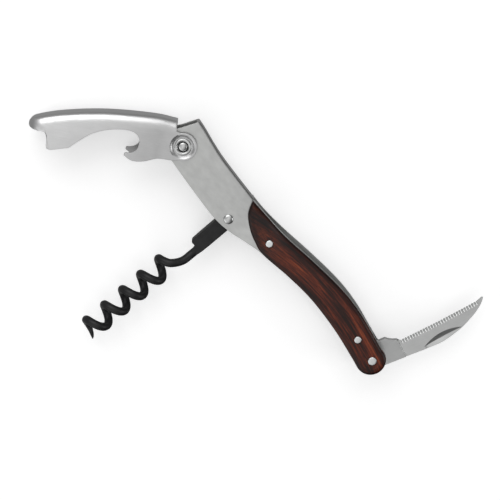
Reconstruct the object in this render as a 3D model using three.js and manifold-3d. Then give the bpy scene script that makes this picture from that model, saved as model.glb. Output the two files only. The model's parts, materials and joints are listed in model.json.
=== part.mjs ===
// A lever corkscrew: a folded steel body with wooden handle scales, a two-eared lever with a
// bottle opener, a helical worm and a small serrated foil cutter. Millimetres, +Z up.
// It lies on its side: every pin runs along Z, and the mid-plane of the body is z = 0 while
// the pieces are made. The lever pivot is x = y = 0, +X points to the blade pivot and +Y to the
// back of the body. The finished group is moved so that its box stands centred on the origin.
import * as THREE from 'three';
import { mergeVertices } from 'three/addons/utils/BufferGeometryUtils.js';
import Module from 'manifold-3d';

const wasm = await Module();
wasm.setup();

// Driving dimensions
const wormPivot = new THREE.Vector2(30.2, -5.2);
const bladePivot = new THREE.Vector2(104.15, 0);
const upperPin = new THREE.Vector2(45.9, 0.3);
const lowerPin = new THREE.Vector2(94.3, 1.2);

const sheet = 1.0;            // body sheet
const neckHalf = 3.9;         // outer half-width of the neck
const handleHalf = 6.3;       // outer half-width of the body inside the handle
const flareStart = 34;        // the neck widens into the handle between these two x
const flareEnd = 52;
const spineEnd = 31;          // the folded back ends here and the blade slot starts
const spineRadius = 1.6;      // outside radius of the folded back
const woodThickness = 1.8;
const glueGap = 0.1;
const woodFace = handleHalf + glueGap + woodThickness;

const neckEyeRadius = 6.5;
const neckEyeEnd = 1.56 * Math.PI;
const handleEndRadius = 5.7;
const handleEndCentre = new THREE.Vector2(103.9, -0.3);
const handleEndArc = [-0.58 * Math.PI, 0.53 * Math.PI];
const beyond = 14;            // every cutting solid reaches this far past the body's middle
const pastEnd = 115;          // an x past the handle's end

const leverSheet = 1.1;
const earHalf = 5.7;          // outer half-width of the lever at its ears
const hookHalf = 6.6;         // outer half-width at the hooks, heel and nose
const leverAngle = THREE.MathUtils.degToRad(219.3);   // from the pivot to the nose
const leverLength = 54.2;
const noseRound = 5.5;        // the nose is rounded in plan over this length
const crownRadius = 2.8;      // outside radius of the lever's fold
const earRadius = 4.9;
const dimpleRadius = 4.2;
const dimpleDepth = 0.6;

const blockHalf = 2.2;        // worm eye block
const blockLeft = 27.9;
const blockRight = 33.5;
const blockEnd = -21.0;
const wireRadius = 1.45;
const coilRadius = 3.2;
const coilAxis = 28.7;
const coilPitch = 8.75;
const coilStart = -34.2;      // y where the coil's first turn starts, on its left side
const coilTurns = 4.42;
const tipRise = 1.1;          // the point bends out to the coil's outer radius
const taperTurns = 0.75;

const bladeHalf = 1.0;
const bladeEdgeHalf = 0.3;
const bladeAngle = THREE.MathUtils.degToRad(77.5);
const bladeEdge = 0.8;        // offset of the cutting edge from the pivot line
const toothPitch = 1.05;
const toothDepth = 0.3;
const toothCount = 27;
const firstTooth = 12.5;
const tangRadius = 5.4;

const fit = 0.1;              // radial clearance of pins in their holes
const pinRadius = 1.3;
const bladePinRadius = 1.55;
const sleeveRadius = 2.3;
const sleeveBore = 1.9;
const sleeveRim = 3.0;
const rivetRadius = 1.8;
const headRise = 0.15;        // the flush pin heads are crowned by this much

const v2 = (x, y) => new THREE.Vector2(x, y);

// Solids: three.js geometry in, manifold solids for joining and cutting, geometry out
function solid(geometry) {
  let source = geometry.index ? geometry : geometry.clone();
  source.deleteAttribute('normal');
  source.deleteAttribute('uv');
  source = mergeVertices(source, 1e-6);
  return new wasm.Manifold(new wasm.Mesh({
    numProp: 3,
    vertProperties: new Float32Array(source.attributes.position.array),
    triVerts: new Uint32Array(source.index.array),
  }));
}

function geometryOf(manifold) {
  const mesh = manifold.getMesh();
  const geometry = new THREE.BufferGeometry();
  geometry.setAttribute('position', new THREE.BufferAttribute(mesh.vertProperties, 3));
  geometry.setIndex(new THREE.BufferAttribute(mesh.triVerts, 1));
  return geometry;
}

// The shape as one polygon, without the doubled points where its curves join
function cleaned(shape, curveSegments) {
  const points = shape.getPoints(curveSegments);
  return new THREE.Shape(points.filter((p, i) => p.distanceTo(points.at(i - 1)) > 1e-3));
}

// A shape in the XY plane, extruded from z = low to z = high
function prism(shape, low, high, curveSegments = 3) {
  const geometry = new THREE.ExtrudeGeometry(cleaned(shape, curveSegments), {
    depth: high - low, bevelEnabled: false,
  });
  return solid(geometry.translate(0, 0, low));
}

// The same with its outline's edges rounded at both ends
function roundedPrism(shape, low, high, radius, curveSegments = 2) {
  const geometry = new THREE.ExtrudeGeometry(cleaned(shape, curveSegments), {
    depth: high - low - 2 * radius,
    bevelThickness: radius, bevelSize: radius, bevelOffset: -radius, bevelSegments: 3,
  });
  return solid(geometry.translate(0, 0, low + radius));
}

// A shape in (x, z), extruded along Y from low to high, then turned about Z
function sideways(shape, low, high, angle = 0, curveSegments = 5) {
  const geometry = new THREE.ExtrudeGeometry(cleaned(shape, curveSegments), {
    depth: high - low, bevelEnabled: false,
  });
  geometry.translate(0, 0, -high).rotateX(Math.PI / 2).rotateZ(angle);
  return solid(geometry);
}

// A profile of (radius, z) turned about a pin axis at centre
function turned(profile, centre, segments = 24) {
  const points = profile.map(([r, z]) => v2(r, z));
  const geometry = new THREE.LatheGeometry(points, segments);
  return geometry.rotateX(Math.PI / 2).rotateZ(Math.PI / segments).translate(centre.x, centre.y, 0);
}

function drilled(manifold, centre, radius, low = -20, high = 20) {
  const drill = [[0, low], [radius, low], [radius, high], [0, high]];
  return manifold.subtract(solid(turned(drill, centre)));
}


// Edges of the body and of the scales that follow it, pivot end to handle end
const neckFront = [v2(12, -7.6), v2(26, -8.7), v2(34, -7.9), v2(41, -5.9)];
const handleFront = [v2(47.5, -4.2), v2(60, -2.6), v2(72, -1.9), v2(86, -2.9), v2(98, -4.9)];
const handleBack = [v2(98, 6.4), v2(87, 8.4), v2(76, 9.0), v2(62, 8.0), v2(48, 6.4), v2(38, 6.0)];
const neckBack = [v2(31, 6.2), v2(22, 6.7), v2(13, 7.4), v2(7, 8.3), v2(-1.2, 9.8)];
const topCorner = v2(-2.8, 9.7);
const topEdge = v2(-5.3, 3.8);

function bodyOutline() {
  const shape = new THREE.Shape();
  shape.moveTo(topCorner.x, topCorner.y);
  shape.absarc(0, 0, neckEyeRadius, topEdge.angle(), neckEyeEnd, false);
  shape.splineThru([...neckFront, ...handleFront]);
  shape.absarc(handleEndCentre.x, handleEndCentre.y, handleEndRadius, ...handleEndArc, false);
  shape.splineThru([...handleBack, ...neckBack]);
  shape.closePath();
  return shape;
}

const woodTip = v2(30.6, 5.8);
const woodCurve = [v2(33.2, 1.4), v2(38, -1.8), v2(42.6, -3.4)];
const woodInset = 0.15;

function woodOutline() {
  const shape = new THREE.Shape();
  shape.moveTo(woodTip.x, woodTip.y);
  shape.splineThru([...woodCurve, ...handleFront.map((p) => v2(p.x, p.y + woodInset))]);
  shape.absarc(handleEndCentre.x, handleEndCentre.y, handleEndRadius - woodInset, ...handleEndArc, false);
  shape.splineThru([...handleBack.map((p) => v2(p.x, p.y - woodInset)), woodTip]);
  return shape;
}

// A band along the body in (x, z): the faces lie at inner and outer from the flared centre line
function flaredBand(start, inner, outer, side) {
  const spread = handleHalf - neckHalf;
  const middle = (flareStart + flareEnd) / 2;
  const [nearIn, nearOut] = [side * inner, side * outer];
  const [farIn, farOut] = [side * (inner + spread), side * (outer + spread)];
  const shape = new THREE.Shape();
  shape.moveTo(start, nearIn);
  shape.lineTo(flareStart, nearIn);
  shape.bezierCurveTo(middle, nearIn, middle, farIn, flareEnd, farIn);
  shape.lineTo(pastEnd, farIn);
  shape.lineTo(pastEnd, farOut);
  shape.lineTo(flareEnd, farOut);
  shape.bezierCurveTo(middle, farOut, middle, nearOut, flareStart, nearOut);
  shape.lineTo(start, nearOut);
  shape.closePath();
  return shape;
}

// Half-width of the body's outer face at x, from the same curve
function flareAt(x) {
  const middle = (flareStart + flareEnd) / 2;
  const curve = new THREE.CubicBezierCurve(
    v2(flareStart, neckHalf), v2(middle, neckHalf), v2(middle, handleHalf), v2(flareEnd, handleHalf));
  if (x >= flareEnd) return handleHalf;
  return curve.getPoints(60).find((point) => point.x >= x).y;
}

// The neck: a sheet folded over the back, open at the front and at both ends
function neckShell() {
  const start = -beyond;
  const depth = 40;
  const straight = v2(28, 6.36);
  const curve = [...neckBack].reverse().slice(0, -1);
  const section = (inset, left, right, bottom) => {
    const shape = new THREE.Shape();
    shape.moveTo(left, 10.2 - inset);
    shape.lineTo(-6, 10.1 - inset);
    shape.splineThru([...curve, straight].map((p) => v2(p.x, p.y - inset)));
    shape.lineTo(right, neckBack[0].y - inset);
    shape.lineTo(right, -bottom);
    shape.lineTo(left, -bottom);
    return shape;
  };
  const outer = roundedPrism(section(0, start, spineEnd, depth), -neckHalf, neckHalf, spineRadius);
  const hollow = section(sheet, 2 * start, 2 * spineEnd, 2 * depth);
  return outer.subtract(roundedPrism(hollow, sheet - neckHalf, neckHalf - sheet, spineRadius - sheet));
}

function bodyFrame() {
  const overlap = 4;
  let body = neckShell();
  for (const side of [-1, 1]) {
    const band = flaredBand(spineEnd - overlap, neckHalf - sheet, neckHalf, side);
    body = body.add(sideways(band, -beyond, beyond));
  }
  body = body.intersect(prism(bodyOutline(), -beyond, beyond));
  body = drilled(body, v2(0, 0), sleeveRadius + fit);
  body = drilled(body, wormPivot, pinRadius + fit);
  body = drilled(body, upperPin, pinRadius + fit);
  body = drilled(body, lowerPin, pinRadius + fit);
  return drilled(body, bladePivot, bladePinRadius + fit);
}

function woodScale(side) {
  const low = neckHalf + glueGap;
  const block = prism(woodOutline(), -woodFace, woodFace);
  const band = flaredBand(woodTip.x - 5, low, low + woodThickness, side);
  let wood = block.intersect(sideways(band, -beyond, beyond));
  wood = drilled(wood, upperPin, pinRadius + fit);
  wood = drilled(wood, lowerPin, pinRadius + fit);
  return drilled(wood, bladePivot, bladePinRadius + fit);
}

// A piece turned about the lever pivot, put on the other side of the mid-plane
function flipped(geometry, side) {
  return side > 0 ? geometry : geometry.rotateX(Math.PI);
}

// A short pin through one scale and the body sheet behind it
function scalePin(centre, side) {
  const inner = flareAt(centre.x) - sheet - 0.1;
  const outer = flareAt(centre.x) + glueGap + woodThickness - headRise;
  const crownZ = outer + headRise;
  const profile = [[0, inner], [pinRadius, inner], [pinRadius, outer], [pinRadius / 2, crownZ], [0, crownZ]];
  return flipped(turned(profile, v2(0, 0), 16), side).translate(centre.x, centre.y, 0);
}

// The lever: its crown is the fold, its two side plates end in ears, hooks and heels
const crownStart = v2(2.3, 12.1);
const crown = new THREE.SplineCurve([
  crownStart, v2(-7.9, 4.4), v2(-13.7, 0.1), v2(-23.2, -8.8),
  v2(-30.15, -16.35), v2(-36.85, -24.95), v2(-41, -31.6),
]);
const noseX = -41.6;          // the crown ends here and the nose drops straight

// Points beside the crown at distance depth, from the ears' end to the nose
function crownPoints(depth, steps = 18) {
  const points = [];
  for (let i = 0; i <= steps; i += 1) {
    const along = crown.getTangent(i / steps);
    const point = crown.getPoint(i / steps);
    points.push(v2(point.x - along.y * depth, point.y + along.x * depth));
  }
  return points;
}

function leverOutline() {
  const shape = new THREE.Shape();
  shape.moveTo(-8.4, 5.4);
  shape.lineTo(-6.8, 3.3);
  shape.lineTo(-5.4, 2.0);
  shape.absarc(0, 0, earRadius, 0.82 * Math.PI, -0.3 * Math.PI, true);
  shape.splineThru([v2(0.6, -6.4), v2(-2.8, -9.4), v2(-5.3, -13.6), v2(-8.2, -16.5), v2(-11.4, -17.2)]);
  shape.lineTo(-12, -16.6);
  shape.lineTo(-11.4, -15.8);
  shape.splineThru([
    v2(-10.2, -14), v2(-10.2, -11.8), v2(-12.4, -9.3), v2(-16, -9.7),
    v2(-20.6, -14.1), v2(-23.9, -19.8), v2(-25.2, -25.4), v2(-25.7, -29.6),
  ]);
  shape.lineTo(-29.2, -34.9);
  shape.quadraticCurveTo(-30.4, -36.3, -31.4, -35.2);
  shape.lineTo(-33.6, -32.9);
  shape.quadraticCurveTo(-34.7, -31.8, -36, -33);
  shape.lineTo(-38.6, -34.9);
  shape.quadraticCurveTo(-41, -36.2, -44, -35.8);
  shape.lineTo(-50, -30);
  shape.lineTo(-10, 12);
  return shape;
}

// The lever's plan in (s, z), s measured from the pivot to the nose, which is rounded
function leverWidth(inset) {
  const ear = earHalf - inset;
  const hook = hookHalf - inset;
  const nose = leverLength - inset;
  const shape = new THREE.Shape();
  shape.moveTo(-20, -ear);
  shape.lineTo(5, -ear);
  shape.lineTo(17, -hook);
  shape.lineTo(nose - noseRound, -hook);
  shape.quadraticCurveTo(nose, -hook, nose, 0);
  shape.quadraticCurveTo(nose, hook, nose - noseRound, hook);
  shape.lineTo(17, hook);
  shape.lineTo(5, ear);
  shape.lineTo(-20, ear);
  return sideways(shape, -60, 60, leverAngle);
}

function foldedLever(depth) {
  const away = 70;
  const nose = noseX + depth;
  const below = [v2(nose, -34), v2(nose, -away), v2(away / 2, -away), v2(away / 2, crownStart.y)];
  const points = [...crownPoints(depth), ...below];
  const half = hookHalf - depth;
  const block = roundedPrism(new THREE.Shape(points), -half, half, crownRadius - depth);
  return block.intersect(leverWidth(depth));
}

// The round mark pressed into each ear: a cone frustum from the sheet's face down to its floor
function pressMark(face, floorRadius, rimRadius) {
  const floor = face - dimpleDepth;
  const rim = face + 0.2;
  return turned([[0, floor], [floorRadius, floor], [rimRadius, rim], [0, rim]], v2(0, 0));
}

function leverSolid() {
  let lever = foldedLever(0).subtract(foldedLever(leverSheet));
  lever = lever.intersect(prism(leverOutline(), -beyond, beyond));
  for (const side of [-1, 1]) {
    const bulge = pressMark(earHalf - leverSheet, dimpleRadius - 0.8, dimpleRadius);
    const dish = pressMark(earHalf, dimpleRadius - 1, dimpleRadius - 0.2);
    lever = lever.add(solid(flipped(bulge, side))).subtract(solid(flipped(dish, side)));
  }
  return drilled(lever, v2(0, 0), sleeveRadius + fit);
}

// The tubular pivot with rolled rims, and the solid rivet inside it
function leverSleeve() {
  const seat = earHalf - dimpleDepth + fit;
  const rim = seat + 0.7;
  const upper = [
    [sleeveRadius, seat], [sleeveRim, seat], [sleeveRim, rim - 0.3], [sleeveRim - 0.3, rim],
    [sleeveBore + 0.4, rim], [sleeveBore, rim - 0.2],
  ];
  const lower = upper.map(([r, z]) => [r, -z]).reverse();
  return turned([...lower, ...upper, lower[0]], v2(0, 0));
}

function domedRivet(centre, radius, half, headRadius, headHeight) {
  const steps = 3;
  const profile = [];
  for (let i = 0; i <= steps; i += 1) {
    const angle = (i / steps) * Math.PI / 2;
    profile.push([headRadius * Math.sin(angle), -half - headHeight * Math.cos(angle)]);
  }
  if (headRadius > radius) profile.push([radius, -half]);
  const upper = profile.map(([r, z]) => [r, -z]).reverse();
  return turned([...profile, ...upper], centre, 20);
}

function ring(centre, bore, radius, low, high, side) {
  const profile = [[bore, low], [radius, low], [radius, high], [bore, high], [bore, low]];
  return flipped(turned(profile, v2(0, 0), 20), side).translate(centre.x, centre.y, 0);
}

// The worm: an eye block whose end runs into a wire, coiled right-handed and ground to a point
function coilPoint(turn) {
  const angle = Math.PI + turn * 2 * Math.PI;
  const rise = tipRise * THREE.MathUtils.smoothstep(turn, coilTurns - taperTurns, coilTurns);
  const radius = coilRadius + rise;
  return new THREE.Vector3(
    coilAxis + radius * Math.cos(angle), coilStart - turn * coilPitch, radius * Math.sin(angle));
}

function wormPath() {
  const wireX = blockRight - wireRadius - 0.1;
  const points = [
    new THREE.Vector3(wireX, blockEnd + 2, 0), new THREE.Vector3(wireX, blockEnd - 3, 0),
    new THREE.Vector3(wireX - 0.6, blockEnd - 7, 1.5), new THREE.Vector3(coilAxis + 0.3, blockEnd - 10.4, 3),
    new THREE.Vector3(coilAxis - 2.2, blockEnd - 12.1, 2.1),
  ];
  const perTurn = 8;
  for (let i = 0; i <= perTurn * coilTurns; i += 1) points.push(coilPoint(i / perTurn));
  points.push(coilPoint(coilTurns));
  return new THREE.CatmullRomCurve3(points);
}

// Thins the wire towards its point: each vertex moves towards the nearest point of the path
function taperWire(geometry, path, steps, taperLength) {
  const centres = path.getSpacedPoints(steps);
  const spacing = path.getLength() / steps;
  const position = geometry.attributes.position;
  const vertex = new THREE.Vector3();
  for (let i = 0; i < position.count; i += 1) {
    vertex.fromBufferAttribute(position, i);
    let nearest = 0;
    centres.forEach((centre, k) => {
      if (centre.distanceTo(vertex) < centres[nearest].distanceTo(vertex)) nearest = k;
    });
    const left = (steps - nearest) * spacing;
    const scale = Math.min(1, 0.12 + 0.88 * left / taperLength);
    vertex.sub(centres[nearest]).multiplyScalar(scale).add(centres[nearest]);
    position.setXYZ(i, vertex.x, vertex.y, vertex.z);
  }
  return geometry;
}

function wormSolid() {
  const section = new THREE.Shape().absarc(0, 0, wireRadius, 0, 2 * Math.PI);
  const steps = 96;
  const path = wormPath();
  const wire = new THREE.ExtrudeGeometry(section, { steps, extrudePath: path, curveSegments: 5 });
  const taperLength = taperTurns * 2 * Math.PI * coilRadius;
  const middle = (blockLeft + blockRight) / 2;
  const half = (blockRight - blockLeft) / 2;
  const block = new THREE.Shape();
  block.moveTo(blockLeft, blockEnd + 0.6);
  block.lineTo(blockLeft + 0.6, blockEnd);
  block.lineTo(blockRight, blockEnd);
  block.absarc(middle, wormPivot.y, half, 0, Math.PI, false);
  const eye = roundedPrism(block, -blockHalf, blockHalf, 0.4, 8);
  return drilled(eye.add(solid(taperWire(wire, path, steps, taperLength))), wormPivot, pinRadius + fit);
}

// The blade, drawn along +X from its pivot with its spine on the -Y side, then turned
function bladeOutline() {
  const shape = new THREE.Shape();
  shape.absarc(0, 0, tangRadius, 0.55 * Math.PI, 1.5 * Math.PI, false);
  shape.lineTo(3.4, -6.4);
  shape.splineThru([
    v2(14, -7.9), v2(24.5, -8.9), v2(32.9, -7.9), v2(39.5, -5.7), v2(44.3, -3.1), v2(46.8, -0.4),
  ]);
  shape.lineTo(44.5, -bladeEdge);
  for (let i = toothCount; i > 0; i -= 1) {
    const root = firstTooth + i * toothPitch;
    shape.lineTo(root, -bladeEdge);
    shape.quadraticCurveTo(root - toothPitch / 2, -bladeEdge - 2 * toothDepth, root - toothPitch, -bladeEdge);
  }
  shape.lineTo(11.8, 0.2);
  shape.quadraticCurveTo(9.6, 0.9, 7.9, 2.9);
  shape.lineTo(5.2, 3.1);
  return shape;
}

function bladeSolid() {
  let blade = prism(bladeOutline(), -bladeHalf, bladeHalf, 4);
  const ground = 11;
  const wedge = (side) => new THREE.Shape([
    v2(-7.4, side * (bladeHalf + 0.01)), v2(2, side * (bladeHalf + 0.01)), v2(2, side * bladeEdgeHalf * 0.4),
    v2(-bladeEdge, side * bladeEdgeHalf)]);
  for (const side of [-1, 1]) {
    const cut = new THREE.ExtrudeGeometry(wedge(side), { depth: 50, bevelEnabled: false });
    cut.rotateY(Math.PI / 2).rotateX(Math.PI / 2).translate(ground, 0, 0);
    blade = blade.subtract(solid(cut));
  }
  const nick = new THREE.Shape();
  nick.moveTo(19.2, -7.1);
  nick.quadraticCurveTo(27, -3.3, 34.8, -6.9);
  blade = blade.subtract(prism(nick, bladeHalf - 0.45, bladeHalf + 1, 8));
  return drilled(blade, v2(0, 0), bladePinRadius + fit);
}

// Materials
const steel = { color: 0xb9b9b6, roughness: 0.32, metalness: 1.0 };
const brightSteel = { color: 0xd6d6d3, roughness: 0.2, metalness: 1.0 };
const satinSteel = { color: 0xa9a9a7, roughness: 0.4, metalness: 1.0 };
const blackCoat = { color: 0x1a1a1c, roughness: 0.5, metalness: 0.0 };
const rosewood = { color: 0x3c1712, roughness: 0.35, metalness: 0.0 };

const assembly = new THREE.Group();

function place(name, geometry, look) {
  const mesh = new THREE.Mesh(geometry, new THREE.MeshStandardMaterial(look));
  mesh.name = name;
  assembly.add(mesh);
  return mesh;
}

place('body_frame', geometryOf(bodyFrame()), steel);
place('lever', geometryOf(leverSolid()), steel);
place('lever_sleeve', leverSleeve(), brightSteel);
place('lever_rivet', domedRivet(v2(0, 0), rivetRadius, 5.0, rivetRadius, 0.7), brightSteel);
place('worm', geometryOf(wormSolid()), blackCoat);
place('worm_rivet', domedRivet(wormPivot, pinRadius, neckHalf + 0.05, 1.8, 0.9), brightSteel);
const bladePin = domedRivet(bladePivot, bladePinRadius, woodFace - headRise, bladePinRadius, headRise);
place('blade_pin', bladePin, brightSteel);

const blade = place('blade', geometryOf(bladeSolid()), satinSteel);
blade.position.set(bladePivot.x, bladePivot.y, 0);
blade.rotation.z = bladeAngle;

const washerStart = bladeHalf + 0.05;
const washerEnd = washerStart + 0.4;
const spacerEnd = handleHalf - sheet - 0.05;
const wormWasherEnd = neckHalf - sheet - 0.05;
for (const [name, side] of [['front', 1], ['back', -1]]) {
  place(`scale_${name}`, geometryOf(woodScale(side)), rosewood);
  place(`scale_pin_${name}_upper`, scalePin(upperPin, side), brightSteel);
  place(`scale_pin_${name}_lower`, scalePin(lowerPin, side), brightSteel);
  const washer = ring(bladePivot, bladePinRadius + fit, 3.6, washerStart, washerEnd, side);
  const spacer = ring(bladePivot, bladePinRadius + fit, 4.2, washerEnd + 0.05, spacerEnd, side);
  const wormWasher = ring(wormPivot, pinRadius + fit, 2.8, blockHalf + 0.05, wormWasherEnd, side);
  place(`blade_washer_${name}`, washer, brightSteel);
  place(`blade_spacer_${name}`, spacer, steel);
  place(`worm_washer_${name}`, wormWasher, brightSteel);
}

const corkscrew = new THREE.Group();
corkscrew.add(assembly);
const box = new THREE.Box3().setFromObject(assembly, true);
assembly.position.set(-(box.min.x + box.max.x) / 2, -(box.min.y + box.max.y) / 2, -box.min.z);

export default corkscrew;
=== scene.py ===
import json
import math

import bmesh
import bpy
import numpy as np
from mathutils import Matrix, Vector


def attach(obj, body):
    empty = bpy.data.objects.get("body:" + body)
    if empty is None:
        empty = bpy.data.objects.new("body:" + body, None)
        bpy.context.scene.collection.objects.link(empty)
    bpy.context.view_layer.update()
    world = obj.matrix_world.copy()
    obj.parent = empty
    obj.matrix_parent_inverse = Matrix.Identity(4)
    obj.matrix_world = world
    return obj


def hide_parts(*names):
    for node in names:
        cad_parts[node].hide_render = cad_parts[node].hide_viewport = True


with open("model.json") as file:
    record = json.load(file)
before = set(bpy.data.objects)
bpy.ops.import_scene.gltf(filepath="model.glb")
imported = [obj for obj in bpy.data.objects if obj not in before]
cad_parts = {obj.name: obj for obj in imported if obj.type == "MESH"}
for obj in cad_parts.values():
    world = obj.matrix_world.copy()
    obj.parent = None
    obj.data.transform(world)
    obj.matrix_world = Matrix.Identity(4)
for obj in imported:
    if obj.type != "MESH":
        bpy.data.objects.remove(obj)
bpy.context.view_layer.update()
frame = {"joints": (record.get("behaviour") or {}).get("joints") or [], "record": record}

# The looks of a lever corkscrew: a folded steel body with wooden scales, a two-eared lever, a black
# worm and a serrated foil cutter. The pieces are drawn in millimetres on the body's own axes: the
# lever pivot is x = y = 0, +X points to the blade pivot, +Y to the body's back, z = 0 is mid-plane.

MM = 0.001
PI = math.pi
joints = {joint["name"]: Vector(joint["pos_m"]) for joint in frame["joints"]}
origin = joints["lever_hinge"]
body_of = {node: body for body, nodes in frame["record"]["behaviour"]["bodies"].items() for node in nodes}


def drawn(place):
    """A place of the row frame in the drawing's millimetres."""
    return (Vector(place) - origin) / MM


# Driving dimensions, in millimetres
lever_pivot = (0.0, 0.0)
worm_pivot = tuple(drawn(joints["worm_hinge"])[:2])
blade_pivot = tuple(drawn(joints["blade_hinge"])[:2])
upper_pin = (45.9, 0.3)
lower_pin = (94.3, 1.2)

sheet = 1.0                 # body sheet
neck_half = 3.9
handle_half = 6.3
flare_start, flare_end = 34, 52
spine_end = 31              # the folded back ends here
spine_radius = 0.9
neck_eye_radius = 6.5       # the neck's end round the lever's pivot
wood_thickness = 1.8
glue_gap = 0.1
wood_face = handle_half + glue_gap + wood_thickness
wood_round = (1.9, 1.25)    # the scales' edges are rounded over this width and this height

lever_sheet = 1.1
ear_half = 5.7              # outer half-width of the lever at its ears
hook_half = 6.6             # and at its hooks, heels and nose
ear_radius = 4.9
crown_round = (4.4, 2.6)    # the fold along the crown: its reach down the sides and in from them
dish_floor, dish_rim = 3.25, 4.5    # radii of the pressed mark round the pivot
dish_depth = 0.6

worm_half = 2.2             # half the thickness of the worm's eye block
block_left, block_right = 27.9, 33.5
wire_x = 32.0               # the wire leaves the block here
wire_radius = 1.52
coil_radius = 3.25
coil_axis = 28.7
coil_pitch = 8.75
coil_start = -34.0
coil_turns = 4.46
tip_rise = 1.1              # the point bends out by this much
taper_turns = 0.48          # the wire thins to its point over this much of a turn

blade_half = 1.0
blade_angle = math.radians(77.5)
edge_offset = 0.8           # the cutting edge lies this far from the blade's own axis
tooth_pitch = 1.05
tooth_count = 30
tooth_radius = 0.46
first_tooth = 12.5

pin_radius = 1.3
blade_pin_radius = 1.55
sleeve_radius = 2.3
fit = 0.1                   # radial clearance of pins in metal
bore_gap = 0.14             # the dark gap that shows round each pin in the wood


# Curves and outlines

def spline(points, per=8):
    """Points along a smooth curve through the given ones, both ends included."""
    known = [np.array(p, float) for p in points]
    last = len(known) - 1
    made = []
    for i in range(last):
        before, a, b, after = known[max(i - 1, 0)], known[i], known[i + 1], known[min(i + 2, last)]
        for t in np.arange(per) / per:
            made.append(a + (b - before) * t / 2 + (2 * before - 5 * a + 4 * b - after) * t * t / 2
                        + (3 * a - before - 3 * b + after) * t ** 3 / 2)
    return [tuple(p) for p in made] + [tuple(known[-1])]


def arc(centre, radius, start, end, steps=24):
    """Points along an arc, both ends included."""
    return [(centre[0] + radius * math.cos(a), centre[1] + radius * math.sin(a))
            for a in np.linspace(start, end, steps + 1)]


def bent(a, control, b, steps=8):
    """A quadratic curve from a to b."""
    a, control, b = (np.array(p, float) for p in (a, control, b))
    return [tuple((1 - t) ** 2 * a + 2 * t * (1 - t) * control + t * t * b)
            for t in np.linspace(0, 1, steps + 1)]


def cleaned(outline, least=0.04):
    """The outline without points that all but coincide."""
    kept = []
    for p in outline:
        if not kept or math.dist(p, kept[-1]) > least:
            kept.append(p)
    if math.dist(kept[0], kept[-1]) <= least:
        kept.pop()
    return kept


def ease(value, low, high):
    """0 at low, 1 at high, smooth between."""
    t = min(max((value - low) / (high - low), 0), 1)
    return t * t * (3 - 2 * t)


def flare(x):
    """Half-width of the body's outer face at x."""
    t = np.linspace(0, 1, 61)
    middle = (flare_start + flare_end) / 2
    along = flare_start * (1 - t) ** 3 + 3 * middle * t * (1 - t) + flare_end * t ** 3
    return neck_half + (handle_half - neck_half) * float(np.interp(x, along, 3 * t * t * (1 - t) + t ** 3))


neck_front = [(12, -7.6), (26, -8.7), (34, -7.9), (41, -5.9)]
handle_front = [(47.5, -4.2), (60, -2.6), (72, -1.9), (86, -2.9), (98, -4.9)]
handle_back = [(98, 6.4), (87, 8.4), (76, 9.0), (62, 8.0), (48, 6.4), (38, 6.0)]
neck_back = [(31, 6.2), (22, 6.7), (13, 7.4), (7, 8.3), (-1.2, 9.8)]
top_corner = (-2.8, 9.7)
top_edge = (-5.3, 3.8)
end_centre = (103.9, -0.3)
end_radius = 5.7
end_arc = (-0.58 * PI, 0.53 * PI)


def body_outline():
    """The body seen along its pins. It stands clear of the folded back, where the fold is the edge."""
    clear = 0.6
    eye = arc(lever_pivot, neck_eye_radius, math.atan2(top_edge[1], top_edge[0]), 1.56 * PI)
    end = arc(end_centre, end_radius, *end_arc, 36)
    front = spline([eye[-1], *neck_front, *handle_front, end[0]])
    back = spline([end[-1], *handle_back, neck_back[0]])
    over = [(x, y + clear) for x, y in spline(neck_back)]
    return cleaned([*eye, *front, *end, *back, *over, (top_corner[0] + 0.25, top_corner[1] + clear)])


def lever_outline():
    """The lever seen along its pivot, open above the crown, where the fold is the edge."""
    hook = spline([(2.88, -3.96), (0.6, -6.4), (-2.8, -9.4), (-5.3, -13.6), (-8.2, -16.5), (-11.2, -17.25)])
    mouth = spline([(-11.3, -15.85), (-10.2, -14), (-10.2, -11.8), (-12.4, -9.3), (-16, -9.7),
                    (-20.6, -14.1), (-23.9, -19.8), (-25.2, -25.4), (-25.7, -29.6)])
    return cleaned([
        (-8.4, 5.4), (-6.8, 3.3), (-5.4, 2.0),
        *arc(lever_pivot, ear_radius, 0.82 * PI, -0.3 * PI, 40),
        *hook,
        *bent((-11.5, -17.15), (-12.1, -16.6), (-11.6, -16.05), 4),
        *mouth,
        *bent((-26.0, -30.2), (-27.2, -31.9), (-29.2, -34.9), 5),
        *bent((-29.2, -34.9), (-30.4, -36.2), (-31.4, -35.2)),
        *bent((-33.4, -33.1), (-34.7, -31.8), (-36, -33)),
        *bent((-38.6, -34.9), (-41, -36.4), (-44, -36.2)),
        (-50, -30), (-10, 12),
    ])


def blade_edge(u):
    """The cutting edge is very slightly hollow."""
    return -edge_offset - 0.25 * math.sin(PI * (u - first_tooth) / (tooth_count * tooth_pitch))


def blade_outline():
    """The blade drawn along +X from its pivot, spine on the -Y side."""
    edge = [(u, blade_edge(u)) for u in np.linspace(44, first_tooth, 16)]
    spine = spline([(3.4, -6.4), (12.4, -7.4), (19, -8.15), (25.5, -8.75), (31, -8.1),
                    (35, -7.05), (41.2, -4.6), (44.8, -2.4), (46.7, -0.5)])
    return cleaned([
        *arc((0, 0), 5.4, 0.55 * PI, 1.5 * PI, 30), *spine, (46.3, -0.2), *edge,
        *bent((11.8, 0.2), (9.6, 0.9), (7.9, 2.9)), (5.2, 3.1),
    ])


# Meshes

def build(name, vertices, faces):
    """A mesh object from points and faces, its faces turned outward."""
    mesh = bpy.data.meshes.new(name)
    mesh.from_pydata([tuple(float(c) for c in v) for v in vertices], [], faces)
    bm = bmesh.new()
    bm.from_mesh(mesh)
    bmesh.ops.recalc_face_normals(bm, faces=bm.faces)
    bm.to_mesh(mesh)
    bm.free()
    obj = bpy.data.objects.new(name, mesh)
    bpy.context.scene.collection.objects.link(obj)
    return obj


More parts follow.
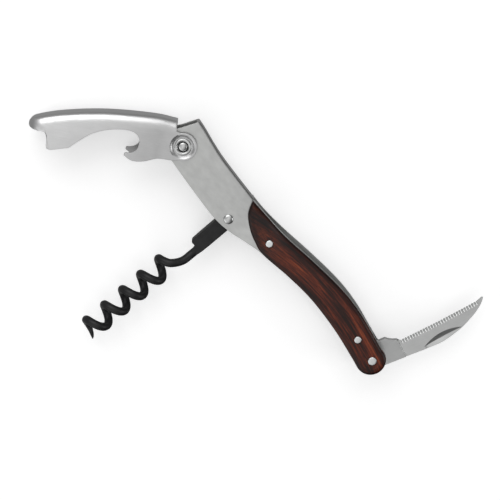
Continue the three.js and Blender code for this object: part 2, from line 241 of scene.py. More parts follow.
def loft(name, rings):
    """Skins closed rings of equal length in turn and caps both ends."""
    size = len(rings[0])
    vertices = [p for ring in rings for p in ring]
    faces = [list(range(size))[::-1], list(range(len(vertices) - size, len(vertices)))]
    for k in range(len(rings) - 1):
        for i in range(size):
            j = (i + 1) % size
            faces.append([k * size + i, k * size + j, (k + 1) * size + j, (k + 1) * size + i])
    return build(name, vertices, faces)


def prism(name, outline, low, high):
    """An outline raised from z = low to z = high."""
    return loft(name, [[(x, y, z) for x, y in outline] for z in (low, high)])


def lathe(name, profile, centre, segments=48):
    """Turns a profile of (radius, z) about the pin axis at centre. Off the axis, it closes on itself."""
    closed = profile[0][0] > 0
    vertices, rows = [], []
    for radius, z in profile:
        count = segments if radius > 1e-6 else 1
        rows.append(range(len(vertices), len(vertices) + count))
        for a in np.arange(count) * 2 * PI / segments:
            vertices.append((centre[0] + radius * math.cos(a), centre[1] + radius * math.sin(a), z))
    pairs = list(zip(rows, rows[1:])) + ([(rows[-1], rows[0])] if closed else [])
    faces = []
    for a, b in pairs:
        for i in range(segments):
            j = (i + 1) % segments
            corners = [a[i % len(a)], a[j % len(a)], b[j % len(b)], b[i % len(b)]]
            faces.append(list(dict.fromkeys(corners)))
    return build(name, vertices, faces)


def bake(obj):
    """Applies the object's modifiers to its mesh."""
    graph = bpy.context.evaluated_depsgraph_get()
    mesh = bpy.data.meshes.new_from_object(obj.evaluated_get(graph))
    obj.modifiers.clear()
    obj.data = mesh


def combine(obj, other, operation):
    """Joins other to obj, or cuts obj with it, and uses it up."""
    modifier = obj.modifiers.new(operation, "BOOLEAN")
    modifier.object = other
    modifier.operation = operation
    modifier.solver = "EXACT"
    bake(obj)
    bpy.data.objects.remove(other)


def drill(obj, centre, radius):
    """Cuts a round hole right through, along the pin axis."""
    reach = 20
    profile = [(0, -reach), (radius, -reach), (radius, reach), (0, reach)]
    combine(obj, lathe("drill", profile, centre, 40), "DIFFERENCE")


def tidy(obj, least=0.015):
    """Merges points that all but coincide, as cuts leave them."""
    bm = bmesh.new()
    bm.from_mesh(obj.data)
    bmesh.ops.remove_doubles(bm, verts=bm.verts, dist=least)
    bmesh.ops.dissolve_degenerate(bm, edges=bm.edges, dist=least / 2)
    bmesh.ops.dissolve_limit(bm, angle_limit=math.radians(0.4), verts=bm.verts, edges=bm.edges)
    bm.to_mesh(obj.data)
    bm.free()


def soften(obj, width, angle=38, segments=2):
    """Rounds the edges that turn by more than angle."""
    tidy(obj)
    modifier = obj.modifiers.new("edges", "BEVEL")
    modifier.width = width
    modifier.segments = segments
    modifier.limit_method = "ANGLE"
    modifier.angle_limit = math.radians(angle)
    modifier.use_clamp_overlap = False
    bake(obj)


def settle(obj, node, material, sharp=40):
    """Puts a finished piece in the row frame, where it rides for its CAD node and stands in for it."""
    obj.name = node + "_finish"
    obj.data.transform(Matrix.Translation(origin) @ Matrix.Scale(MM, 4))
    obj.data.shade_smooth()
    obj.data.set_sharp_from_angle(angle=math.radians(sharp))
    modifier = obj.modifiers.new("normals", "WEIGHTED_NORMAL")
    modifier.keep_sharp = True
    obj.data.materials.clear()
    obj.data.materials.append(material)
    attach(obj, body_of[node])
    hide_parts(node)


# Folded sheet: a channel whose web runs along a line and whose sides hang from it

def channel_ring(half, fold, web, bottom, thickness=None):
    """A section of (depth, z). With a thickness it is a bent sheet, without one the solid that fills it."""
    turn = np.linspace(0, PI / 2, 9)

    def side(h, reach, inset, top):
        corner = [(top + reach - reach * math.sin(a), h - inset + inset * math.cos(a)) for a in turn]
        return [(bottom, h), *corner]

    outer = side(half, *fold, web)
    ring = outer + [(d, -z) for d, z in reversed(outer)]
    if thickness:
        tight = [max(r - thickness, 0.15) for r in fold]
        inner = side(half - thickness, *tight, web + thickness)
        ring += [(d, -z) for d, z in inner] + list(reversed(inner))
    return ring


def body_frame():
    """The body sheet: folded over the back along the neck, two flat sides in the handle."""
    back = sorted(spline([*neck_back, (-9, 10.3)]))
    stations = [*np.arange(-8, spine_end, 1.3), spine_end, spine_end + 0.6, flare_start,
                *np.arange(flare_start + 1, flare_end, 0.9), flare_end, 70, 90, 114]
    rings = []
    for x in stations:
        web = np.interp(x, [p[0] for p in back], [p[1] for p in back]) if x <= spine_end else 15
        ring = channel_ring(flare(x), (spine_radius, spine_radius), 0, web + 14, sheet)
        rings.append([(x, web - depth, z) for depth, z in ring])
    body = loft("body", rings)
    combine(body, prism("outline", body_outline(), -14, 14), "INTERSECT")
    drill(body, lever_pivot, sleeve_radius + fit)
    for centre in (worm_pivot, upper_pin, lower_pin):
        drill(body, centre, pin_radius + fit)
    drill(body, blade_pivot, blade_pin_radius + fit)
    soften(body, 0.14)
    return body


crown = [(2.3, 12.1), (-7.9, 4.4), (-13.7, 0.1), (-23.2, -8.8),
         (-30.15, -16.35), (-36.85, -24.95), (-41, -31.6)]
nose_run = 3.2              # the nose ends this far beyond the crown's last point
nose_drop = 2.9             # radius of its fall in side view
nose_plan = 6.4             # length over which it is rounded in plan


def lever_hull(inset):
    """The outer form of the folded lever, or the form inset by the sheet's thickness that hollows it."""
    line = np.array(spline(crown, 12))
    onward = (line[-1] - line[-2]) / np.linalg.norm(line[-1] - line[-2])
    line = np.vstack([line, line[-1] + onward * (nose_run + 1)])
    length = np.concatenate([[0], np.cumsum(np.linalg.norm(np.diff(line, axis=0), axis=1))])
    end = length[-1] - 1 - inset
    plan_start = length[-1] - 1 - nose_plan
    near_nose = end - (end - plan_start) * (1 - np.sin(np.linspace(0, PI / 2, 22)))
    stations = np.concatenate([np.arange(0.5 - inset / 4, plan_start - 0.3, 0.9), near_nose])
    rings = []
    for s in stations:
        here = np.array([np.interp(s, length, line[:, k]) for k in (0, 1)])
        ahead = np.array([np.interp(s + 0.4, length, line[:, k]) for k in (0, 1)])
        behind = np.array([np.interp(s - 0.4, length, line[:, k]) for k in (0, 1)])
        along = (ahead - behind) / np.linalg.norm(ahead - behind)
        inward = np.array([-along[1], along[0]])
        half = ear_half + (hook_half - ear_half) * ease(s, 9, 31) - inset
        share = min(max((s - plan_start) / (end - plan_start), 0), 1)
        half = max(half * (1 - share ** 2.3) ** (1 / 2.3), 0.05)
        fall = max(nose_drop - inset, 0.6)
        into = min(max(s - (end - fall), 0), fall)
        drop = fall - math.sqrt(fall * fall - into * into)
        fold = (crown_round[0] - inset, min(crown_round[1] - inset, half))
        ring = channel_ring(half, fold, inset + drop, 26 + 2 * inset)
        rings.append([(*(here + inward * depth), z) for depth, z in ring])
    return loft("hull", rings)


def dish_profile(face, floor_radius, rim_radius):
    """A round pressed mark with soft shoulders, closed above the face."""
    steps = 8
    slope = [(floor_radius + (rim_radius - floor_radius) * k / steps,
              face + 0.02 - dish_depth * (0.5 + 0.5 * math.cos(PI * k / steps))) for k in range(steps + 1)]
    return [(0, slope[0][1]), *slope, (rim_radius, face + 0.25), (0, face + 0.25)]


def lever():
    """The lever: a folded sheet, cut to its outline, with a mark pressed into each ear."""
    piece = lever_hull(0)
    combine(piece, lever_hull(lever_sheet), "DIFFERENCE")
    combine(piece, prism("outline", lever_outline(), -12, 12), "INTERSECT")
    bulge = dish_profile(ear_half - lever_sheet, dish_floor + 0.3, dish_rim + 0.2)
    dish = dish_profile(ear_half, dish_floor, dish_rim)
    for side in (1, -1):
        combine(piece, lathe("bulge", [(r, side * z) for r, z in bulge], lever_pivot, 64), "UNION")
        combine(piece, lathe("dish", [(r, side * z) for r, z in dish], lever_pivot, 64), "DIFFERENCE")
    drill(piece, lever_pivot, sleeve_radius + fit)
    soften(piece, 0.16)
    return piece


# Wooden scales

wood_tip = (30.6, 5.8)
wood_inset = 0.15           # the wood stays this far inside the body's edge


def scale_edges():
    """The front and back edges of a scale, each in order of x."""
    end = arc(end_centre, end_radius - wood_inset, *end_arc, 60)
    far = max(range(len(end)), key=lambda i: end[i][0])
    tongue = [wood_tip, (33.2, 1.4), (38, -1.8), (42.6, -3.4)]
    front = spline([*tongue, *[(x, y + wood_inset) for x, y in handle_front], end[0]], 14)
    back = spline([end[-1], *[(x, y - wood_inset) for x, y in handle_back], wood_tip], 14)
    return front + end[1:far + 1], (end[far:-1] + back)[::-1]


def outline_distance(points, outline):
    """Distance of each point from a closed outline."""
    a = np.array(outline)
    b = np.roll(a, -1, axis=0)
    run = b - a
    best = np.full(len(points), 1e9)
    for start, along in zip(a, run):
        size = along @ along
        if size < 1e-12:
            continue
        t = np.clip((points - start) @ along / size, 0, 1)
        best = np.minimum(best, np.linalg.norm(points - (start + t[:, None] * along), axis=1))
    return best


def wood_scale(side):
    """A scale that lies on the body, flat inside and rounded all round outside."""
    front, back = scale_edges()
    outline = cleaned(front + back[::-1], 0.02)
    low_x, high_x = front[0][0], front[-1][0]
    reach = high_x - low_x
    stations = [low_x + reach * (0.5 - 0.5 * math.cos(PI * k / 170)) for k in range(1, 170)]
    columns = 30
    share = [0.5 - 0.5 * math.cos(PI * k / columns) for k in range(columns + 1)]
    fronts = np.interp(stations, [p[0] for p in front], [p[1] for p in front])
    backs = np.interp(stations, [p[0] for p in back], [p[1] for p in back])
    grid = np.array([(x, f + (b - f) * t) for x, f, b in zip(stations, fronts, backs) for t in share])
    ends = np.array([front[0], front[-1]])
    flat = np.vstack([grid, ends])
    near = np.clip(outline_distance(flat, outline) / wood_round[0], 0, 1)
    inner = np.array([flare(x) + glue_gap for x in flat[:, 0]])
    rise = wood_thickness - wood_round[1] + wood_round[1] * np.sqrt(1 - (1 - near) ** 2)
    lower = [(x, y, side * z) for (x, y), z in zip(flat, inner)]
    upper = [(x, y, side * z) for (x, y), z in zip(flat, inner + rise)]
    count, width = len(flat), columns + 1
    faces = []
    for k in range(len(stations) - 1):
        for i in range(columns):
            a, b = k * width + i, (k + 1) * width + i
            faces.append([a, b, b + 1, a + 1])
    first, final = count - 2, count - 1
    last_row = (len(stations) - 1) * width
    for i in range(columns):
        faces.append([first, i, i + 1])
        faces.append([final, last_row + i + 1, last_row + i])
    rim = [first, *[k * width for k in range(len(stations))], final,
           *[k * width + columns for k in reversed(range(len(stations)))]]
    top = [[i + count for i in face] for face in faces]
    walls = [[a, b, b + count, a + count] for a, b in zip(rim, rim[1:] + rim[:1])]
    wood = build("scale", lower + upper, faces + top + walls)
    drill(wood, upper_pin, pin_radius + bore_gap)
    drill(wood, lower_pin, pin_radius + bore_gap)
    drill(wood, blade_pivot, blade_pin_radius + bore_gap)
    places = np.array([v.co[:2] for v in wood.data.vertices])
    layer = wood.data.attributes.new("from_edge", "FLOAT", "POINT")
    layer.data.foreach_set("value", outline_distance(places, outline))
    return wood


# Pins, rivets and rings

def dome(radius, base, height, steps=7):
    """From the rim of a domed head to its crown, on the axis."""
    turn = np.linspace(0, PI / 2, steps + 1)[:-1]
    return [*[(radius * math.cos(a), base + height * math.sin(a)) for a in turn], (0, base + height)]


def mirrored(upper):
    """A profile that is the same at both ends."""
    return [(r, -z) for r, z in reversed(upper)] + upper


def scale_pin(centre, side):
    """A flush pin through a scale: its end is a very shallow dome with a broken edge."""
    inner = flare(centre[0]) - sheet - 0.1
    outer = flare(centre[0]) + glue_gap + wood_thickness
    head = [(pin_radius, outer - 0.16), (pin_radius - 0.09, outer - 0.06),
            *dome(pin_radius - 0.2, outer - 0.04, 0.04)]
    return lathe("pin", [(r, side * z) for r, z in [(0, inner), (pin_radius, inner), *head]], centre)


def blade_pin():
    """One pin through both scales, flush at both ends."""
    head = [(blade_pin_radius, wood_face - 0.16), (blade_pin_radius - 0.1, wood_face - 0.06),
            *dome(blade_pin_radius - 0.24, wood_face - 0.03, 0.03)]
    return lathe("pin", mirrored(head), blade_pivot)


def worm_rivet():
    """A rivet with a domed head on each side of the neck."""
    head = [(pin_radius, neck_half + 0.05), (1.75, neck_half + 0.05), *dome(1.8, neck_half + 0.15, 0.75, 9)]
    return lathe("rivet", mirrored(head), worm_pivot)


def lever_rivet():
    """The solid rivet whose domed ends show inside the sleeve."""
    head = [(1.72, 4.95), *dome(1.6, 5.1, 0.6, 9)]
    return lathe("rivet", mirrored(head), lever_pivot)


def lever_sleeve():
    """The tubular pivot with its rolled rims."""
    rim = [(sleeve_radius, 5.2), (2.5, 5.22), (2.8, 5.36), (2.96, 5.5), (2.98, 5.62), (2.9, 5.76),
           (2.74, 5.86), (2.5, 5.9), (2.24, 5.86), (2.04, 5.74), (1.93, 5.55), (1.9, 5.3)]
    return lathe("sleeve", mirrored(rim), lever_pivot, 64)


def ring(centre, bore, radius, low, high, side):
    """A flat ring with broken edges."""
    broken = 0.08
    profile = [(bore, low + broken), (bore + broken, low), (radius - broken, low), (radius, low + broken),
               (radius, high - broken), (radius - broken, high), (bore + broken, high), (bore, high - broken)]
    return lathe("ring", [(r, side * z) for r, z in profile], centre)


# The worm

def worm_line():
    """The middle line of the wire, from inside the eye block to the point."""
    lead = [(wire_x, -19, 0), (wire_x, -24, 0), (wire_x - 0.6, -28, 1.5), (29, -31.4, 3), (26.5, -33.1, 2.1)]
    coil = []
    for turn in np.arange(0, coil_turns, 1 / 30):
        angle = PI + turn * 2 * PI
        radius = coil_radius + tip_rise * ease(turn, coil_turns - taper_turns, coil_turns)
        coil.append((coil_axis + radius * math.cos(angle), coil_start - turn * coil_pitch,
                     radius * math.sin(angle)))
    return [np.array(p) for p in spline([*lead, coil[0], coil[4]], 8)[:-8]] + [np.array(p) for p in coil]


def worm():
    """The worm: a wire swept along its middle line and thinned to a point, joined to the eye block."""
    line = worm_line()
    left = [0.0]
    for a, b in zip(reversed(line[:-1]), reversed(line[1:])):
        left.insert(0, left[0] + float(np.linalg.norm(b - a)))
    taper = taper_turns * 2 * PI * coil_radius
    across = np.array([1.0, 0, 0])
    rings = []
    for i, here in enumerate(line):
        along = line[min(i + 1, len(line) - 1)] - line[max(i - 1, 0)]
        along /= np.linalg.norm(along)
        across = across - along * (across @ along)
        across /= np.linalg.norm(across)
        other = np.cross(along, across)
        thin = min(1, 0.1 + 0.9 * (left[i] / taper) ** 0.6)
        rings.append([here + wire_radius * thin * (across * math.cos(a) + other * math.sin(a))
                      for a in np.arange(24) * 2 * PI / 24])
    wire = loft("wire", rings)
    middle, half = (block_left + block_right) / 2, (block_right - block_left) / 2
    tongue = [*bent((29.9, -21), (30.55, -21), (30.62, -21.9), 5), (30.9, -24.2), (33.1, -24.2), (33.42, -22)]
    round_end = arc((middle, worm_pivot[1]), half, 0, PI, 28)
    block = [(block_left, -20.3), (block_left + 0.7, -21), *tongue, (block_right, -20), *round_end]
    eye = prism("eye", block, -worm_half, worm_half)
    slope = [(-16.5, 4), (-16.5, 2.25), (-21.5, 1.55), (-25, 0.7), (-25, 4)]
    for side in (1, -1):
        cutter = loft("taper", [[(x, y, side * z) for y, z in slope] for x in (20, 40)])
        combine(eye, cutter, "DIFFERENCE")
    drill(eye, worm_pivot, pin_radius + fit)
    soften(eye, 0.3, 24, 3)
    combine(eye, wire, "UNION")
    return eye


# The blade

def nail_nick():
    """The space cut out for the nail: a steep wall along the arc, a gentle slope out to the spine."""
    ends = (19.2, -7.15), (34.9, -6.85)
    steps = 28
    rings = []
    for k, (u, v) in enumerate(bent(ends[0], (27, -3.2), ends[1], steps)):
        depth = math.sin(PI * k / steps) ** 0.7
        valley = np.interp(u, [ends[0][0], ends[1][0]], [ends[0][1], ends[1][1]]) - 0.05
        wall_top = 0.86 - 0.58 * (v + 9.5) / 8.7
        rings.append([(u, v, 1.6), (u, v, wall_top + 0.01), (u, valley, 0.74 - 0.8 * depth), (u, -9.5, 0.9),
                      (u, -9.5, 1.6)])
    return loft("nick", rings)


def blade():
    """The blade: flat at its foot, ground thin beyond the plunge line, with a nail nick and teeth."""
    piece = prism("blade", blade_outline(), -blade_half, blade_half)
    clear = [(-9.5, 1.2), (3, 1.6), (3, 1.3), (-9.5, 1.1), (-9.5, 1.15)]
    ground = [(-9.5, 1.2), (3, 1.6), (3, 0.05), (-edge_offset, 0.28), (-9.5, 0.86)]
    sections = [(11.3, clear), (11.9, ground), (62, ground)]
    for side in (1, -1):
        cutter = loft("grind", [[(u, v, side * z) for v, z in section] for u, section in sections])
        combine(piece, cutter, "DIFFERENCE")
    combine(piece, nail_nick(), "DIFFERENCE")
    drill(piece, (0, 0), blade_pin_radius + fit)
    soften(piece, 0.06, 30, 2)
    tooth_ends = (0.6, -0.75), (-2.6, 1.08)         # each tooth is a round cut that slants up the near face
    for i in range(tooth_count):
        middle = first_tooth + (i + 0.5) * tooth_pitch
        lift = blade_edge(middle) + edge_offset
        rings = [[(middle + tooth_radius * math.cos(a), v + lift, z + tooth_radius * math.sin(a))
                  for a in np.arange(30) * 2 * PI / 30] for v, z in tooth_ends]
        combine(piece, loft("tooth", rings), "DIFFERENCE")
    piece.data.transform(Matrix.Translation((*blade_pivot, 0)) @ Matrix.Rotation(blade_angle, 4, "Z"))
    return piece


# Materials

def add(tree, kind, inputs=None, **settings):
    """A new node with its inputs set or linked."""
    node = tree.nodes.new(kind)
    for key, value in settings.items():
        setattr(node, key, value)
    for key, value in (inputs or {}).items():
        if isinstance(value, bpy.types.NodeSocket):
            tree.links.new(value, node.inputs[key])
        else:
            node.inputs[key].default_value = value
    return node


def started(name):
    """A new material, its node tree and its shader."""
    material = bpy.data.materials.new(name)
    material.use_nodes = True
    tree = material.node_tree
    return material, tree, tree.nodes["Principled BSDF"]


def calc(tree, operation, a, b=0.0):
    return add(tree, "ShaderNodeMath", {0: a, 1: b}, operation=operation).outputs[0]


def own_place(tree):
    """The place on the piece, in metres in the row frame."""
    return add(tree, "ShaderNodeTexCoord").outputs["Object"]


def split(tree, vector):
    """The x, y and z of a vector."""
    return add(tree, "ShaderNodeSeparateXYZ", {0: vector}).outputs


def noise(tree, at, scale, detail, roughness, distortion=0.0, place=(0, 0, 0)):
    """Noise at a vector that is scaled along each axis, per metre, and moved by place."""
    scaled = add(tree, "ShaderNodeMapping", {"Vector": at, "Scale": scale, "Location": place})
    return add(tree, "ShaderNodeTexNoise", {
        "Vector": scaled.outputs[0], "Scale": 1.0, "Detail": detail, "Roughness": roughness,
        "Distortion": distortion}).outputs[0]


def pattern(tree, scale, angle, detail, roughness, distortion=0.0):
    """Noise on the piece's own coordinates, turned by angle."""
    turned = add(tree, "ShaderNodeMapping", {"Vector": own_place(tree), "Rotation": (0, 0, -angle)})
    return noise(tree, turned.outputs[0], scale, detail, roughness, distortion)


def tinted(tree, shader, colour, factor):
    """Sets the base colour to a colour times a factor that varies over the surface."""
    tint = add(tree, "ShaderNodeVectorMath", {0: colour, "Scale": factor}, operation="SCALE").outputs[0]
    tree.links.new(tint, shader.inputs["Base Color"])


def bumped(tree, shader, strength, distance, height):
    bump = add(tree, "ShaderNodeBump", {"Strength": strength, "Distance": distance, "Height": height})
    tree.links.new(bump.outputs[0], shader.inputs["Normal"])


def ramp(tree, value, stops):
    """Colours by value: stops are (position, colour)."""
    node = add(tree, "ShaderNodeValToRGB", {"Fac": value})
    while len(node.color_ramp.elements) < len(stops):
        node.color_ramp.elements.new(0.5)
    for element, (position, colour) in zip(node.color_ramp.elements, stops):
        element.position = position
        element.color = (*colour, 1)
    return node.outputs[0]


def mapped(tree, value, low, high, to_low, to_high):
    """A value between low and high carried over to the range from to_low to to_high."""
    node = add(tree, "ShaderNodeMapRange", {"Value": value, "From Min": low, "From Max": high,
                                            "To Min": to_low, "To Max": to_high})
    return node.outputs[0]


def inside(tree, inner_shade):
    """1 on faces that look out, and the given shade factor on faces that look in to the mid-plane: painted
    shade in the folded sheet's hollow.
    """
    height = split(tree, own_place(tree))[2]
    normal = split(tree, add(tree, "ShaderNodeNewGeometry").outputs["Normal"])[2]
    side = calc(tree, "SIGN", calc(tree, "SUBTRACT", height, origin.z))
    # Painted shade: faces that look in to the mid-plane are darkened by the given factor.
    return mapped(tree, calc(tree, "MULTIPLY", normal, side), -0.6, -0.1, inner_shade, 1.0)


def sheet_metal(name, colour, roughness, angle, mottle, grain, inner_shade, heel_light=1.0):
    """Satin metal: fine lines along one direction, faint cloudy tone and small handling marks.

    Faces that look in get painted shade. The tone goes to the last factor from the pivot to the lever's
    heels, as painted light for the brighter reflections there."""
    material, tree, shader = started(name)
    lines = pattern(tree, (120, 5200, 5200), angle, 4, 0.6)
    clouds = pattern(tree, (260, 420, 420), angle, 4, 0.55)
    marks = pattern(tree, (900, 2600, 2600), angle + 0.5, 2, 0.5, 0.6)
    tone = mapped(tree, clouds, 0.3, 0.7, 1 - mottle, 1 + mottle)
    fine = mapped(tree, lines, 0.25, 0.75, 1 - 0.06 * grain, 1 + 0.06 * grain)
    # Painted light: the tone rises from the pivot towards the lever's heels, standing in for brighter
    # reflections there.
    heel = mapped(tree, split(tree, own_place(tree))[0], origin.x - 0.036, origin.x - 0.010, heel_light, 1.0)
    for factor in (fine, inside(tree, inner_shade), heel):
        tone = calc(tree, "MULTIPLY", tone, factor)
    tinted(tree, shader, colour, tone)
    shader.inputs["Metallic"].default_value = 1.0
    rough = mapped(tree, lines, 0.2, 0.8, roughness - 0.07, roughness + 0.07)
    spots = mapped(tree, marks, 0.62, 0.75, 0, 0.06)
    tree.links.new(calc(tree, "ADD", rough, spots), shader.inputs["Roughness"])
    bumped(tree, shader, 0.25 * grain, 0.00004, calc(tree, "ADD", lines, clouds))
    return material


def turned_metal(name, colour, roughness):
    """Turned steel with faint cloudy tone."""
    material, tree, shader = started(name)
    clouds = pattern(tree, (1500, 1500, 1500), 0, 4, 0.6)
    tinted(tree, shader, colour, mapped(tree, clouds, 0.3, 0.7, 0.93, 1.05))
    shader.inputs["Metallic"].default_value = 1.0
    rough = mapped(tree, clouds, 0.3, 0.7, roughness - 0.05, roughness + 0.06)
    tree.links.new(rough, shader.inputs["Roughness"])
    bumped(tree, shader, 0.12, 0.00003, clouds)
    return material


def black_coating():
    """Thin black low-friction coating with a slightly uneven tone."""
    material, tree, shader = started("black_coating")
    grain = pattern(tree, (5200, 5200, 5200), 0, 3, 0.6)
    clouds = pattern(tree, (500, 500, 500), 0, 3, 0.5)
    tint = ramp(tree, clouds, [(0.3, (0.006, 0.006, 0.0065)), (0.7, (0.014, 0.014, 0.015))])
    tree.links.new(tint, shader.inputs["Base Color"])
    tree.links.new(mapped(tree, grain, 0.3, 0.7, 0.36, 0.52), shader.inputs["Roughness"])
    shader.inputs["Specular IOR Level"].default_value = 0.36
    bumped(tree, shader, 0.25, 0.00003, grain)
    return material


def rosewood():
    """Oiled rosewood: the figure follows the handle's bend, with bands along its edges. Painted shade darkens
    the rounded edges, and in part the tongue end.
    """
    material, tree, shader = started("rosewood")
    x, y, z = split(tree, own_place(tree))
    bow_top = origin.x + 0.073         # the handle's bow is highest here
    bow_bend = -4.3                    # per metre
    from_top = calc(tree, "SUBTRACT", x, bow_top)
    bow = calc(tree, "MULTIPLY", calc(tree, "MULTIPLY", from_top, from_top), bow_bend)
    across = calc(tree, "SUBTRACT", calc(tree, "SUBTRACT", y, origin.y + 0.0036), bow)
    height = calc(tree, "ABSOLUTE", calc(tree, "SUBTRACT", z, origin.z))
    grain_at = add(tree, "ShaderNodeCombineXYZ", {0: x, 1: across, 2: height}).outputs[0]
    broad = noise(tree, grain_at, (34, 330, 420), 3, 0.5, 0.7, (3.1, 1.7, 0.4))
    streaks = noise(tree, grain_at, (85, 1600, 1000), 5, 0.65, 0.5)
    pores = noise(tree, grain_at, (520, 6500, 6500), 2, 0.5)
    from_edge = add(tree, "ShaderNodeAttribute", attribute_name="from_edge").outputs["Fac"]
    contour_at = add(tree, "ShaderNodeCombineXYZ", {0: x, 1: from_edge, 2: across}).outputs[0]
    contour = noise(tree, contour_at, (30, 1.15, 60), 3, 0.55, 0.2)
    mixed = calc(tree, "ADD", calc(tree, "MULTIPLY", broad, 0.34), calc(tree, "MULTIPLY", streaks, 0.46))
    mixed = calc(tree, "ADD", mixed, calc(tree, "MULTIPLY", contour, 0.24))
    colour = ramp(tree, mixed, [
        (0.40, (0.010, 0.0045, 0.003)), (0.475, (0.030, 0.0075, 0.0045)), (0.53, (0.075, 0.0135, 0.0065)),
        (0.59, (0.16, 0.029, 0.0100)), (0.67, (0.29, 0.065, 0.020))])
    shade = mapped(tree, pores, 0.52, 0.68, 1.0, 0.5)
    # Painted shade: the colour darkens along the scale's rounded edges.
    edge = mapped(tree, from_edge, 0.5, 2.9, 0.36, 1.0)
    # Darker towards the tongue end: partly the wood's own darker figure there, partly painted shade.
    tip = mapped(tree, x, origin.x + 0.040, origin.x + 0.054, 0.42, 1.0)
    for factor in (edge, tip):
        shade = calc(tree, "MULTIPLY", shade, factor)
    tinted(tree, shader, colour, shade)
    tree.links.new(mapped(tree, streaks, 0.3, 0.7, 0.42, 0.30), shader.inputs["Roughness"])
    shader.inputs["Specular IOR Level"].default_value = 0.32
    relief = calc(tree, "SUBTRACT", calc(tree, "MULTIPLY", streaks, 0.5), calc(tree, "MULTIPLY", pores, 0.5))
    bumped(tree, shader, 0.25, 0.00005, relief)
    return material


# Of the numbers given, 0.9, 0.6 and 0.9 are the painted shade on faces that look in, and the lever's 1.3 is
# painted light at its heels.
body_steel = sheet_metal("brushed_steel", (0.56, 0.565, 0.555), 0.36, 0.0, 0.07, 0.5, 0.9)
lever_steel = sheet_metal("lever_steel", (0.56, 0.56, 0.56), 0.34, math.radians(39), 0.03, 1.0, 0.6, 1.3)
blade_steel = sheet_metal("blade_steel", (0.57, 0.575, 0.57), 0.34, blade_angle, 0.04, 1.0, 0.9)
bright_steel = turned_metal("bright_steel", (0.84, 0.86, 0.86), 0.34)
rivet_steel = turned_metal("rivet_steel", (0.60, 0.605, 0.60), 0.24)
worm_black = black_coating()
wood = rosewood()

# Pieces

settle(body_frame(), "body_frame", body_steel)
settle(lever(), "lever", lever_steel)
settle(lever_sleeve(), "lever_sleeve", rivet_steel)
settle(lever_rivet(), "lever_rivet", rivet_steel)
settle(worm(), "worm", worm_black, 50)
settle(worm_rivet(), "worm_rivet", rivet_steel)
settle(blade_pin(), "blade_pin", bright_steel)
settle(blade(), "blade", blade_steel, 14)
for name, side in (("front", 1), ("back", -1)):
    settle(wood_scale(side), "scale_" + name, wood, 50)
    settle(scale_pin(upper_pin, side), f"scale_pin_{name}_upper", bright_steel)
    settle(scale_pin(lower_pin, side), f"scale_pin_{name}_lower", bright_steel)
    settle(ring(blade_pivot, 1.65, 3.6, 1.05, 1.45, side), "blade_washer_" + name, bright_steel)
    settle(ring(blade_pivot, 1.65, 4.2, 1.5, 5.25, side), "blade_spacer_" + name, body_steel)
    settle(ring(worm_pivot, 1.4, 2.8, 2.25, 2.85, side), "worm_washer_" + name, bright_steel)

# Stage: a pale floor that the corkscrew lies on, soft light and the camera

target = origin + Vector((44.75, -7.33, 0)) * MM
toward = Vector((-0.2274, 0.1361, 0.9642))       # from the target to the camera
image_up = Vector((-0.7257, 0.6366, -0.261))
camera_distance = 0.45
light_distance = 1.5


def floor_white():
    """A matt pale surface that glows a little, so that it stays near white."""
    material, tree, shader = started("floor_white")
    tone = pattern(tree, (3, 3, 3), 0, 2, 0.5)
    white = 0.72
    low, high = [(white * k, white * k, white * k) for k in (0.985, 1.0)]
    tree.links.new(ramp(tree, tone, [(0.3, low), (0.7, high)]), shader.inputs["Base Color"])
    shader.inputs["Roughness"].default_value = 0.7
    shader.inputs["Emission Color"].default_value = (1, 1, 1, 1)
    shader.inputs["Emission Strength"].default_value = 0.48
    return material


def floor():
    """A square floor that doesn't show in the metal."""
    half = 2.5
    mesh = bpy.data.meshes.new("floor")
    corners = [(-half, -half, 0), (half, -half, 0), (half, half, 0), (-half, half, 0)]
    mesh.from_pydata(corners, [], [(0, 1, 2, 3)])
    obj = bpy.data.objects.new("floor", mesh)
    bpy.context.scene.collection.objects.link(obj)
    obj.data.materials.append(floor_white())
    obj.visible_glossy = False


def softbox(name, direction, size, power):
    """A rectangular light that faces the object from a direction."""
    light = bpy.data.lights.new(name, "AREA")
    light.shape = "RECTANGLE"
    light.size, light.size_y = size
    light.energy = power
    obj = bpy.data.objects.new(name, light)
    obj.location = target + direction.normalized() * light_distance
    obj.rotation_mode = "QUATERNION"
    obj.rotation_quaternion = direction.to_track_quat("Z", "Y")
    bpy.context.scene.collection.objects.link(obj)


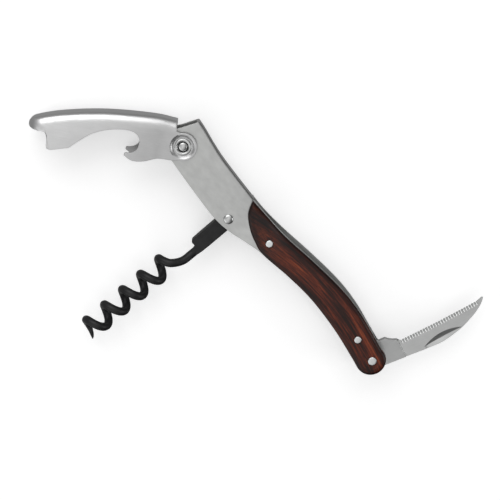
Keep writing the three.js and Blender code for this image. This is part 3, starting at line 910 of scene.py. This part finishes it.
def sky():
    """Soft light from all round, brightest overhead, with one brighter band across it and a grey ground."""
    world = bpy.data.worlds.new("studio")
    world.use_nodes = True
    tree = world.node_tree
    towards = add(tree, "ShaderNodeTexCoord").outputs["Generated"]
    height = ramp(tree, mapped(tree, split(tree, towards)[2], -1, 1, 0, 1), [
        (0.0, (0.30, 0.30, 0.30)), (0.47, (0.28, 0.28, 0.28)), (0.53, (0.27, 0.27, 0.27)),
        (0.75, (0.42, 0.42, 0.425)), (1.0, (0.76, 0.76, 0.76))])
    side = add(tree, "ShaderNodeVectorMath", {0: towards, 1: (0.916, 0.40, 0)}, operation="DOT_PRODUCT")
    greys = [(0.35, 0.40), (0.45, 0.46), (0.53, 0.60), (0.565, 0.48), (0.60, 0.41), (0.65, 0.40),
             (0.72, 0.18), (0.80, 0.09)]
    along = ramp(tree, mapped(tree, side.outputs["Value"], -1, 1, 0, 1), [(at, (g, g, g)) for at, g in greys])
    brightness = 2.4
    lit = add(tree, "ShaderNodeVectorMath", {0: along, "Scale": brightness}, operation="SCALE").outputs[0]
    tint = add(tree, "ShaderNodeVectorMath", {0: height, 1: lit}, operation="MULTIPLY").outputs[0]
    tree.links.new(tint, tree.nodes["Background"].inputs["Color"])
    tree.nodes["Background"].inputs["Strength"].default_value = 1.0
    bpy.context.scene.world = world


def camera():
    """A camera without shift or depth of field, aimed at target."""
    data = bpy.data.cameras.new("camera")
    data.lens = 90
    data.sensor_width = 36
    obj = bpy.data.objects.new("camera", data)
    right = image_up.cross(toward).normalized()
    up = toward.cross(right).normalized()
    obj.matrix_world = Matrix.Translation(target + toward.normalized() * camera_distance) @ Matrix(
        (right, up, toward.normalized())).transposed().to_4x4()
    bpy.context.scene.collection.objects.link(obj)
    bpy.context.scene.camera = obj


floor()
sky()
camera()
over_top = Vector((image_up.x, image_up.y, 0)).normalized()
to_right = Vector((over_top.y, -over_top.x, 0))
softbox("key", over_top - to_right * 0.25 + Vector((0, 0, 0.8)), (1.4, 1.1), 9)
softbox("right", to_right - over_top * 0.1 + Vector((0, 0, 0.42)), (0.8, 0.6), 4)
softbox("left", -to_right - over_top * 0.7 + Vector((0, 0, 0.7)), (1.2, 1.0), 3)
bpy.context.scene.view_settings.view_transform = "Standard"
